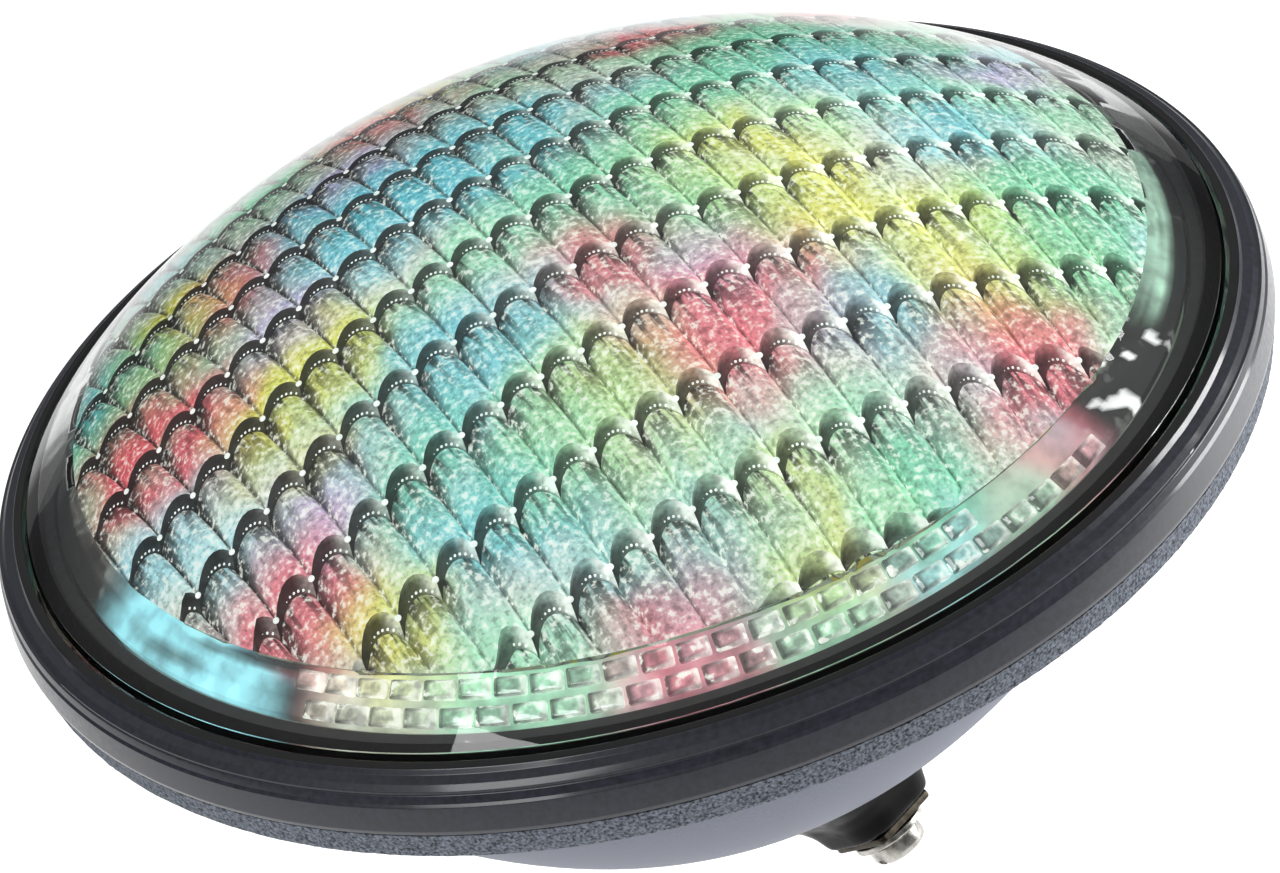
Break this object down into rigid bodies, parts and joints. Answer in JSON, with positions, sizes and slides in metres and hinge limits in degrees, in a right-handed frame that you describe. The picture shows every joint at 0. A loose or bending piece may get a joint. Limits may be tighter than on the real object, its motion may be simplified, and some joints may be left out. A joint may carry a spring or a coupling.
{
  "type": "underwater pool light",
  "caption": "Round sealed pool lamp with a domed fluted glass lens over a patchwork of coloured light, a deep reflector bowl and two slanted screw terminals behind it.",
  "frame": {"origin": "centre of the flat rear face of the rim, which rests in the niche", "axes": "+Z along the optical axis, out through the lens; X and Y along the lens flutes' two directions"},
  "size_m": [0.178, 0.178, 0.116],
  "materials": {
    "lens_glass": "clear pressed glass, polished outside",
    "bezel_black": "near-black, glossy lip and satin side",
    "seal_grey": "rough granular sealing compound",
    "bowl_coat": "satin blue-grey coat",
    "diffuser": "frosted film with soft colour patches",
    "carrier_white": "white moulded",
    "spreader_aluminium": "brushed sheet",
    "strip_white": "white solder-resist strip with square LED packages",
    "zinc_steel": "zinc plated",
    "pillar_brass": "turned",
    "board_green": "glass-epoxy board with solder resist",
    "component_black": "moulded epoxy",
    "capacitor_sleeve": "shrunk sleeve",
    "coil_copper": "enamelled copper winding",
    "plug_cement": "cast insulating cement",
    "bridge_phenolic": "black moulded phenolic",
    "nickel_brass": "nickel plated",
    "nickel_steel": "nickel plated",
    "lead_red": "soft insulation",
    "lead_black": "soft insulation"
  },
  "bodies": {
    "lamp_body": {"lens": "lens_glass", "lens_bezel": "bezel_black", "seal_bead": "seal_grey", "reflector_bowl": "bowl_coat", "terminal_bridge": "bridge_phenolic", "contact_plate_a": "nickel_brass", "contact_plate_b": "nickel_brass", "colour_diffuser": "diffuser", "led_carrier": "carrier_white", "heat_spreader": "spreader_aluminium", "led_strip_1": "strip_white", "led_strip_2": "strip_white", "led_strip_3": "strip_white", "led_strip_4": "strip_white", "led_strip_5": "strip_white", "led_strip_6": "strip_white", "led_strip_7": "strip_white", "led_strip_8": "strip_white", "led_strip_9": "strip_white", "spreader_screw_1": "zinc_steel", "spreader_screw_2": "zinc_steel", "spreader_screw_3": "zinc_steel", "pillar_1": "pillar_brass", "pillar_2": "pillar_brass", "pillar_3": "pillar_brass", "board_nut_1": "zinc_steel", "board_nut_2": "zinc_steel", "board_nut_3": "zinc_steel", "driver_board": "board_green", "rectifier": "component_black", "control_chip": "component_black", "capacitor": "capacitor_sleeve", "coil": "coil_copper", "neck_plug": "plug_cement", "supply_lead_a": "lead_red", "supply_lead_b": "lead_black", "led_lead_a": "lead_red", "led_lead_b": "lead_black"},
    "washer_a": {"clamp_washer_a": "nickel_steel"},
    "screw_a": {"terminal_screw_a": "nickel_steel"},
    "washer_b": {"clamp_washer_b": "nickel_steel"},
    "screw_b": {"terminal_screw_b": "nickel_steel"}
  },
  "joints": [
    {"name": "screw_a_lift", "type": "slide", "parent": "lamp_body", "child": "washer_a", "axis": [0.2073, -0.455, -0.866], "range_m": [0, 0.0032]},
    {"name": "screw_a_turn", "type": "hinge", "parent": "washer_a", "child": "screw_a", "pos_m": [0.01062, -0.02329, -0.0655], "axis": [0.2073, -0.455, -0.866], "range_deg": [0, 1440]},
    {"name": "screw_b_lift", "type": "slide", "parent": "lamp_body", "child": "washer_b", "axis": [-0.2073, 0.455, -0.866], "range_m": [0, 0.0032]},
    {"name": "screw_b_turn", "type": "hinge", "parent": "washer_b", "child": "screw_b", "pos_m": [-0.01062, 0.02329, -0.0655], "axis": [-0.2073, 0.455, -0.866], "range_deg": [0, 1440]}
  ],
  "couplings": [
    {"joint": "screw_a_turn", "follows": "screw_a_lift", "rad_per_m": 7854},
    {"joint": "screw_b_turn", "follows": "screw_b_lift", "rad_per_m": 7854}
  ]
}
